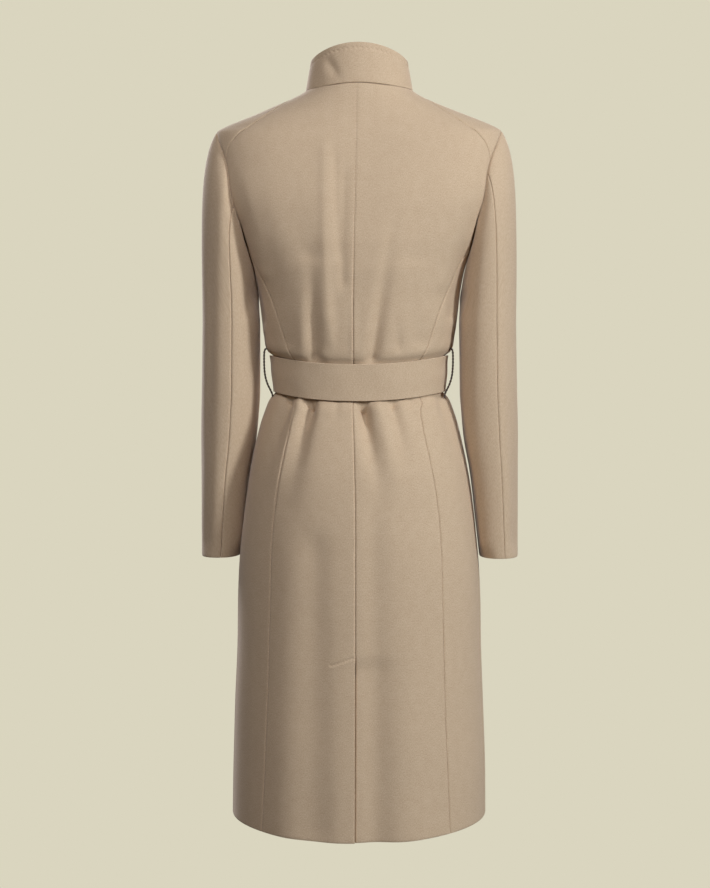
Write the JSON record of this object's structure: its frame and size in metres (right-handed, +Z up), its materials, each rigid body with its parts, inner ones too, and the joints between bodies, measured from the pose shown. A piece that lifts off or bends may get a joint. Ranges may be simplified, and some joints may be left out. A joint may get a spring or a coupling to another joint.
{
  "type": "wool wrap coat",
  "caption": "Worn-shape hollow wool wrap coat with stand collar, two-piece sleeves, curved back seams, back vent and tied belt, held up by its wearer.",
  "frame": {"origin": "centre of the neck opening, level with the side of the neck where the wearer's shoulders hold the coat", "axes": "+Z up, the coat's front faces -Y, the wearer's left is +X"},
  "size_m": [0.4528, 0.2991, 1.0963],
  "materials": {
    "wool": "soft brushed camel wool melton",
    "thread": "dark twisted thread cord"
  },
  "bodies": {
    "root": {"back_left": "wool", "back_right": "wool", "side_back_left": "wool", "side_back_right": "wool", "front_left": "wool", "front_right": "wool", "vent_underlay": "wool", "collar": "wool", "sleeve_upper_left": "wool", "sleeve_upper_right": "wool", "sleeve_under_left": "wool", "sleeve_under_right": "wool", "belt_band": "wool", "belt_knot": "wool", "belt_tail_left": "wool", "belt_tail_right": "wool", "belt_loop_left": "thread", "belt_loop_right": "thread"}
  },
  "joints": []
}
